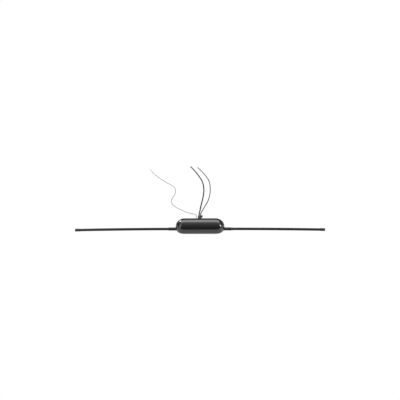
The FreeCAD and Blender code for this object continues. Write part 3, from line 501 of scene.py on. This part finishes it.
@dataclass
class Coil:
    """Put-away turns of a cord: flat spiral layers, wound inward, then outward on the layer above, and so on.

    Lengths are in millimetres. Each layer's last turn climbs to the next within climb_turns of a turn.
    """

    place: tuple[float, float]
    radius: float
    turns: float
    start_degrees: float
    clockwise: bool
    base: float = 0.8
    layers: int = 4
    points_per_turn: int = 16
    climb_turns: float = 0.33
    unevenness: float = 0.06
    wobble_slow: float = 2.4
    wobble_fast: float = 5.3
    wobble_phase: float = 0.7

    def points(self, diameter: float) -> list[Point]:
        """Control points of the turns.

        The angle goes on evenly. The radius falls or rises by a diameter each turn, with a slight wobble, and
        the height steps up by a diameter where a layer ends. All points lie a little outside the turns,
        because a curve of order 3 cuts the corners of its control points.

        Args:
            diameter: the cord's diameter in millimetres.

        Returns:
            Points in millimetres.
        """
        a_layer = self.turns / self.layers
        count = int(round(self.turns * self.points_per_turn))
        t = np.linspace(0, self.turns, count + 1)
        layer = np.minimum(np.floor(t / a_layer), self.layers - 1)
        share = t / a_layer - layer
        falling = np.where(layer % 2 == 0, 0.5 - share, share - 0.5)
        wobble = np.sin(self.wobble_slow * t + self.wobble_phase) * np.sin(self.wobble_fast * t)
        outset = 1 / (0.5 + 0.5 * math.cos(2 * math.pi / self.points_per_turn))
        radius = (self.radius + falling * a_layer * diameter + self.unevenness * diameter * wobble) * outset
        rise = np.zeros_like(t)
        for k in range(1, self.layers):
            rise += np.clip((t - k * a_layer) / self.climb_turns + 0.5, 0, 1)
        direction = -1 if self.clockwise else 1
        angle = np.radians(self.start_degrees) + direction * 2 * math.pi * t
        x = self.place[0] + radius * np.cos(angle)
        y = self.place[1] + radius * np.sin(angle)
        z = self.base + diameter / 2 + rise * diameter
        return [tuple(p) for p in np.stack([x, y, z], axis=1).tolist()]


@dataclass
class Lead:
    """A free cord: its route from the pod, its put-away coil and its last stretch to what is on its end."""

    name: str
    diameter: float
    length_m: float
    route: list[Point]
    coil: Coil
    end_route: list[Point]
    far_end: str
    stiffness: str
    finish: Finish
    nodes: tuple[str, ...]
    slot: str
    ends: tuple[str, ...]
    round_steps: int = 4
    along_steps: int = 5

    def build(self, paints: Paints) -> None:
        """Args:
            paints: the materials made so far.
        """
        points = self.route + self.coil.points(self.diameter) + self.end_route
        curve = bpy.data.curves.new(self.name, "CURVE")
        curve.dimensions = "3D"
        curve.bevel_depth = self.diameter / 2 * MM
        curve.bevel_resolution = self.round_steps
        curve.resolution_u = self.along_steps
        curve.use_fill_caps = True
        spline = curve.splines.new("NURBS")
        spline.points.add(len(points) - 1)
        flat = np.ones((len(points), 4))
        flat[:, :3] = np.array(points) * MM
        spline.points.foreach_set("co", flat.ravel())
        spline.order_u = 3
        spline.use_endpoint_u = True
        cord = bpy.data.objects.new(self.name, curve)
        bpy.context.scene.collection.objects.link(cord)
        paints.dress(cord, self.finish)
        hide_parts(*self.nodes)
        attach(cord, BODY)
        log.info("%s: %d control points", self.name, len(points))


COAX = Lead(
    name="coax_lead", diameter=3.0, length_m=2.4,
    route=[
        (-2.4, 47.0, 6.5), (-2.4, 58.0, 6.5), (-1.0, 80.0, 1.5), (2.4, 116.0, 1.5), (7.6, 156.0, 1.5),
        (10.2, 196.0, 1.5), (6.5, 238.0, 1.5), (-6.4, 279.0, 1.5), (-21.3, 316.0, 1.5),
        (-35.5, 341.0, 1.9),
    ],
    coil=Coil(place=(-66.0, 352.0), radius=18.0, turns=18.25, start_degrees=0.0, clockwise=False),
    end_route=[(-75.0, 377.0, 11.1), (-88.0, 376.5, 7.4), (-99.0, 376.6, 5.2), (-110.0, 376.6, 5.2)],
    far_end="plug", stiffness="medium", finish=COAX_PVC,
    nodes=("coax_cable", "coax_coil", "coax_cable_end"), slot="coax_jacket",
    ends=("plug_boot", "plug_barrel", "plug_insulator", "plug_pin", "coax_coil_ties", "lead_tie"),
)
POWER = Lead(
    name="power_lead_cord", diameter=2.1, length_m=1.22,
    route=[
        (0.8, 47.0, 6.5), (0.8, 58.0, 6.5), (2.0, 78.0, 1.05), (9.0, 103.0, 1.05), (18.4, 134.0, 1.05),
        (24.0, 168.0, 1.05), (25.0, 204.0, 1.05), (23.6, 240.0, 1.05), (11.2, 279.0, 1.05),
        (-5.7, 316.0, 1.05), (-15.0, 333.0, 1.5),
    ],
    coil=Coil(place=(-3.9, 344.8), radius=11.55, turns=12.325, start_degrees=207.0, clockwise=True),
    end_route=[(1.0, 359.8, 7.7), (8.5, 358.3, 3.9), (15.0, 358.6, 2.6), (21.0, 358.6, 2.6)],
    far_end="connector", stiffness="limp", finish=POWER_PVC,
    nodes=("power_lead", "power_coil", "power_lead_end"), slot="power_jacket",
    ends=("bullet_sleeve", "bullet_contact", "power_coil_tie"),
)
EARTH = Lead(
    name="earth_lead_cord", diameter=1.4, length_m=EARTH_LENGTH_MM * MM,
    route=[
        (-8.6, 25.0, 6.5), (-8.6, 31.5, 6.5), (-8.5, 42.0, 0.7), (-8.4, 56.0, 0.7), (-8.6, 65.5, 0.7),
        (-9.6, 72.6, 0.7), (-15.5, 75.4, 0.7), (-26.5, 80.0, 0.7), (-41.0, 91.5, 0.7), (-54.5, 105.0, 0.7),
        (-64.0, 119.0, 0.7), (-68.5, 134.0, 0.7), (-66.4, 152.0, 0.7), (-60.0, 169.0, 0.7),
        (-58.6, 190.0, 0.7), (-60.2, 208.0, 0.7), (-73.0, 223.5, 0.7), (-90.0, 243.5, 0.7),
        (-107.5, 268.0, 0.7), (-120.5, 294.0, 0.7), (-131.5, 321.0, 0.7), (-136.0, 332.0, 1.1),
    ],
    coil=Coil(place=(-128.0, 341.0), radius=7.7, turns=9.3, start_degrees=198.4, clockwise=True),
    end_route=[(-124.5, 350.6, 5.0), (-118.5, 350.4, 1.5), (-113.5, 350.4, 1.5)],
    far_end="fitting", stiffness="limp", finish=CLEAR_WIRE,
    nodes=("earth_lead", "earth_coil", "earth_lead_end"), slot="earth_insulation",
    ends=("ring_terminal", "earth_coil_tie"),
)


# Camera, floor, cards, lights and room

@dataclass
class Camera:
    """The photograph's view: level with the elements' middle, looking down from far off.

    The elevation and the roll are in degrees, and strip_row is the row of pixels of the elements.
    """

    distance_mm: float = 2200.0
    elevation: float = 30.0
    mm_per_pixel: float = 2.24
    strip_row: float = 229.4
    strip_height_mm: float = 3.0
    image_pixels: float = 400.0
    sensor_mm: float = 36.0
    roll: float = -0.12
    clip_m: tuple[float, float] = (0.05, 30.0)

    def build(self) -> None:
        """Create the camera, aimed so that the elements fall on their row of the picture."""
        focal_pixels = self.distance_mm / self.mm_per_pixel
        lift = math.atan((self.strip_row - self.image_pixels / 2) / focal_pixels)
        rise = math.radians(self.elevation)
        data = bpy.data.cameras.new("camera")
        data.sensor_width = self.sensor_mm
        data.lens = focal_pixels * self.sensor_mm / self.image_pixels
        data.clip_start, data.clip_end = self.clip_m
        camera = bpy.data.objects.new("camera", data)
        camera.location = (0.0, -self.distance_mm * MM * math.cos(rise),
                           (self.strip_height_mm + self.distance_mm * math.sin(rise)) * MM)
        down = Matrix.Rotation(math.pi / 2 - rise + lift, 4, "X")
        camera.rotation_euler = (down @ Matrix.Rotation(math.radians(self.roll), 4, "Z")).to_euler()
        bpy.context.scene.collection.objects.link(camera)
        bpy.context.scene.camera = camera


@dataclass(frozen=True)
class SoftBox:
    """A rectangular light: where it stands as a direction from the pod, its size and its brightness.

    Its turn about the line to the pod is in degrees.
    """

    name: str
    direction: Point
    distance_m: float
    width_m: float
    height_m: float
    radiance: float
    turn: float = 0.0

    def build(self) -> None:
        """Create the area light, facing the pod, turned about its own axis and unseen by the camera."""
        data = bpy.data.lights.new(self.name, "AREA")
        data.shape = "RECTANGLE"
        data.size = self.width_m
        data.size_y = self.height_m
        data.energy = self.radiance * math.pi * self.width_m * self.height_m
        light = bpy.data.objects.new(self.name, data)
        aim = Vector(self.direction).normalized()
        light.location = aim * self.distance_m
        facing = aim.to_track_quat("Z", "Y").to_matrix().to_4x4()
        light.rotation_euler = (facing @ Matrix.Rotation(math.radians(self.turn), 4, "Z")).to_euler()
        light.visible_camera = False
        bpy.context.scene.collection.objects.link(light)


@dataclass(frozen=True)
class Card:
    """A white card where leads leave the photograph: a point of its foot, and how far it reaches along X.

    Its turn about the upright and its lean forward are in degrees.
    """

    name: str
    cut_mm: tuple[float, float]
    high_x_mm: float
    low_x_mm: float = -185.0
    height_mm: float = 74.0
    turn: float = 10.0
    lean: float = 12.0

    def corners(self) -> list[Point]:
        """Corners of the card, which is turned away from the right-hand side and leans forward.

        Returns:
            The two ends of its foot, then the two ends of its upper edge, in metres.
        """
        turn = math.radians(self.turn)
        reach = self.height_mm * math.tan(math.radians(self.lean))
        foot = [(x, self.cut_mm[1] - (x - self.cut_mm[0]) * math.tan(turn), 0.0)
                for x in (self.low_x_mm, self.high_x_mm)]
        edge = [(x - reach * math.sin(turn), y - reach * math.cos(turn), self.height_mm)
                for x, y, _ in reversed(foot)]
        return [tuple(c * MM for c in corner) for corner in foot + edge]


@dataclass
class Studio:
    """White floor, white cards that stand where the leads leave the photograph, soft lights and a pale room.

    The sky's stops are pairs of an angle round the X axis and a brightness. The angle is 0 overhead, 90
    degrees level in front, 180 below and -90 level behind. The stops of the sides are pairs of a height,
    from -1 below to 1 overhead, and a brightness. The sides take over from the sky across side_span, a
    share of the way along X.
    """

    floor_half_m: float = 6.0
    floor_colour: tuple[float, float, float, float] = (0.012, 0.012, 0.012, 1.0)
    floor_glow: float = 0.988
    cards: tuple[Card, ...] = (
        Card("card", cut_mm=(-14.0, 316.8), high_x_mm=140.0),
        Card("card_near", cut_mm=(-125.0, 305.0), high_x_mm=-30.0),
    )
    boxes: tuple[SoftBox, ...] = (
        SoftBox("overhead_back", (0.0, 0.515, 0.857), 1.5, 1.9, 1.0, 3.6),
        SoftBox("rear_low_left", (-0.04, 0.866, 0.5), 1.6, 0.11, 0.3, 0.6),
        SoftBox("rear_low_right", (0.105, 0.866, 0.5), 1.6, 0.34, 0.3, 0.34),
        SoftBox("back_left", (-0.52, 0.73, 0.445), 1.4, 0.28, 0.5, 15.0),
        SoftBox("front_right", (0.89, -0.16, 0.425), 1.4, 0.36, 0.48, 17.0),
        SoftBox("left_strip", (-0.835, -0.322, 0.447), 1.4, 0.36, 0.95, 4.4, 23.0),
    )
    sky_gain: float = 4.0
    sky: tuple[Stop, ...] = (
        (-180, 1.6), (-150, 1.5), (-128, 0.5), (-112, 0.22), (-90, 0.25), (-74, 0.14), (-56, 0.14),
        (-50, 0.5), (-30, 1.2), (-5, 1.6), (8, 1.0), (22, 0.75), (36, 0.52), (50, 0.42), (64, 0.32),
        (80, 0.2), (90, 0.22), (96, 0.9), (102, 1.6), (112, 1.9), (124, 2.1), (140, 1.7), (165, 1.3),
        (180, 1.6),
    )
    sides: tuple[Stop, ...] = ((-0.3, 1.9), (-0.05, 2.0), (0.02, 0.4), (0.4, 0.3), (0.8, 0.8), (1.0, 1.2))
    side_span: tuple[float, float] = (0.55, 0.92)

    def sheet(self, name: str, corners: list[Point], material: bpy.types.Material) -> bpy.types.Object:
        """Make one flat four-sided sheet that is part of the stage.

        Args:
            name: the sheet's name.
            corners: its four corners in metres, counter-clockwise seen from its front.
            material: what it is made of.

        Returns:
            The new sheet.
        """
        mesh = bpy.data.meshes.new(name)
        mesh.from_pydata(corners, [], [(0, 1, 2, 3)])
        mesh.materials.append(material)
        obj = bpy.data.objects.new(name, mesh)
        bpy.context.scene.collection.objects.link(obj)
        return obj

    def floor(self) -> None:
        """White paper that is lit through: nearly all its brightness is its own glow, so no shadow shows."""
        material, tree, output = new_material("floor_paper_white")
        diffuse = add_node(tree, "ShaderNodeBsdfDiffuse", {"Color": self.floor_colour})
        glow = add_node(tree, "ShaderNodeEmission", {"Color": WHITE, "Strength": self.floor_glow})
        both = add_node(tree, "ShaderNodeAddShader", {0: diffuse.outputs[0], 1: glow.outputs[0]})
        tree.links.new(both.outputs[0], output.inputs[0])
        r = self.floor_half_m
        floor = self.sheet("floor", [(-r, -r, 0), (r, -r, 0), (r, r, 0), (-r, r, 0)], material)
        floor.visible_glossy = False

    def stand_cards(self) -> None:
        """Cards of the paper's brightness, seen from the front only; the put-away coils lie behind them.

        Their backs are clear, which is what the side, rear and top views see.
        """
        material, tree, output = new_material("card_white")
        glow = add_node(tree, "ShaderNodeEmission", {"Color": WHITE, "Strength": 1.0})
        clear = add_node(tree, "ShaderNodeBsdfTransparent")
        back = add_node(tree, "ShaderNodeNewGeometry").outputs["Backfacing"]
        mix = add_node(tree, "ShaderNodeMixShader", {0: back, 1: glow.outputs[0], 2: clear.outputs[0]})
        tree.links.new(mix.outputs[0], output.inputs[0])
        for card in self.cards:
            sheet = self.sheet(card.name, card.corners(), material)
            sheet.visible_shadow = False
            sheet.visible_diffuse = False
            sheet.visible_glossy = False

    def room(self) -> None:
        """World: white to the eye; for reflections its brightness goes by the angle round the X axis.

        Towards both ends of the X axis, where all angles meet, the brightness goes by height instead.
        """
        world = bpy.data.worlds.new("studio_room")
        bpy.context.scene.world = world
        world.use_nodes = True
        tree = world.node_tree
        tree.nodes.clear()
        direction = add_node(tree, "ShaderNodeTexCoord").outputs["Generated"]
        split = add_node(tree, "ShaderNodeSeparateXYZ", {"Vector": direction})
        front = add_node(tree, "ShaderNodeMath", {0: split.outputs[1], 1: -1.0}, operation="MULTIPLY")
        angle = add_node(tree, "ShaderNodeMath", {0: front.outputs[0], 1: split.outputs[2]},
                         operation="ARCTAN2")
        share = add_node(tree, "ShaderNodeMapRange", {
            "Value": angle.outputs[0], "From Min": -math.pi, "From Max": math.pi})
        height = add_node(tree, "ShaderNodeMapRange", {
            "Value": split.outputs[2], "From Min": -1.0, "From Max": 1.0})
        along = self.ramp(tree, share.outputs[0], [((a + 180) / 360, level) for a, level in self.sky])
        across = self.ramp(tree, height.outputs[0], [((z + 1) / 2, level) for z, level in self.sides])
        reach = add_node(tree, "ShaderNodeMath", {0: split.outputs[0]}, operation="ABSOLUTE")
        end = add_node(tree, "ShaderNodeMapRange", {
            "Value": reach.outputs[0], "From Min": self.side_span[0], "From Max": self.side_span[1]},
            interpolation_type="SMOOTHSTEP")
        level = add_node(tree, "ShaderNodeMix", {0: end.outputs[0], 2: along, 3: across}, data_type="FLOAT")
        gain = add_node(tree, "ShaderNodeMath", {0: level.outputs[0], 1: self.sky_gain}, operation="MULTIPLY")
        reflected = add_node(tree, "ShaderNodeBackground", {"Color": WHITE, "Strength": gain.outputs[0]})
        seen = add_node(tree, "ShaderNodeBackground", {"Color": WHITE, "Strength": 1.0})
        eye = add_node(tree, "ShaderNodeLightPath").outputs["Is Camera Ray"]
        choose = add_node(tree, "ShaderNodeMixShader", {0: eye, 1: reflected.outputs[0], 2: seen.outputs[0]})
        output = add_node(tree, "ShaderNodeOutputWorld")
        tree.links.new(choose.outputs[0], output.inputs[0])

    def ramp(self, tree: bpy.types.NodeTree, value: bpy.types.NodeSocket,
             stops: list[Stop]) -> bpy.types.NodeSocket:
        """Add a colour ramp whose brightness is kept as a share of the sky's gain.

        Args:
            tree: the world's node tree.
            value: what picks the place on the ramp, from 0 to 1.
            stops: pairs of place and brightness, in rising order.

        Returns:
            The ramp's output.
        """
        curve = add_node(tree, "ShaderNodeValToRGB", {"Fac": value})
        elements = curve.color_ramp.elements
        while len(elements) < len(stops):
            elements.new(1.0)
        for element, (place, level) in zip(elements, stops):
            element.position = place
            share = level / self.sky_gain
            element.color = (share, share, share, 1.0)
        return curve.outputs[0]

    def build(self) -> None:
        """Set up floor, cards, room and lights."""
        self.floor()
        self.stand_cards()
        self.room()
        for box in self.boxes:
            box.build()
        bpy.context.scene.view_settings.view_transform = "Standard"


def main() -> None:
    """Build camera, cords, cover, the carried-over nodes' finishes and the studio, in that order."""
    logging.basicConfig(level=logging.INFO, format="%(name)s: %(message)s")
    paints = Paints()
    Camera().build()
    for lead in (COAX, POWER, EARTH):
        lead.build(paints)
    Cover().build(paints)
    for group in (HOUSING, ELECTRONICS, ELEMENTS, FITTINGS):
        group.build(paints)
    Studio().build()
    bpy.context.view_layer.update()


if __name__ == "__main__":
    main()
